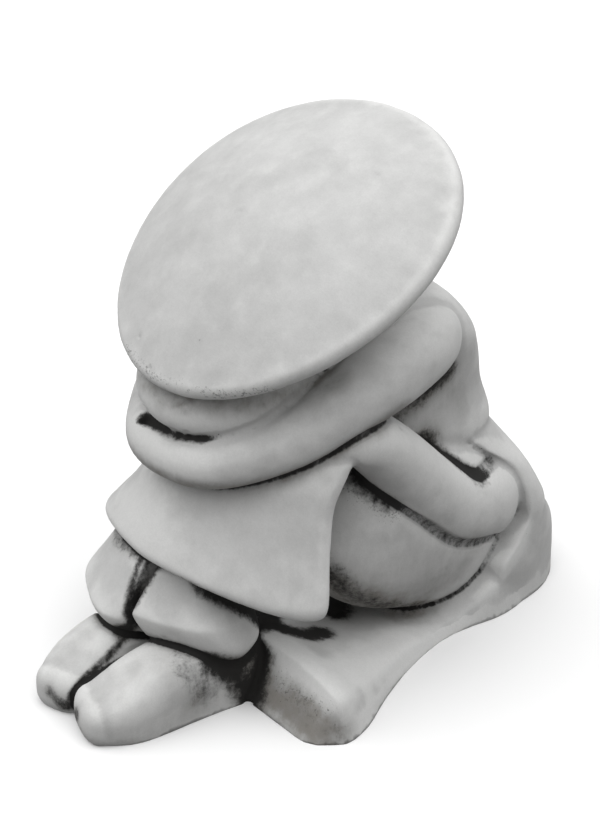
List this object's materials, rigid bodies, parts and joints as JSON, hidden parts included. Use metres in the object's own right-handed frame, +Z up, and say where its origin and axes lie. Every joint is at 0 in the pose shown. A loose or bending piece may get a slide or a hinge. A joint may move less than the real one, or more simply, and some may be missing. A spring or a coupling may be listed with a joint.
{
  "type": "farmer statue",
  "caption": "Cast stone garden figure of a farmer asleep on folded arms over drawn-up knees, under a wide domed hat, on a small ground slab.",
  "frame": {"origin": "centre of the footprint's bounding box, on the plane that the figure stands on", "axes": "+Z up; the figure faces -Y, so its bowed head and feet are at -Y and its hips at +Y; its left arm and leg are at +X"},
  "size_m": [0.2247, 0.3348, 0.2962],
  "materials": {
    "cast_stone": "matt, light grey, fine-grained cast stone, with dark dirt in its deepest folds"
  },
  "bodies": {
    "root": {"farmer_figure": "cast_stone"}
  },
  "joints": []
}
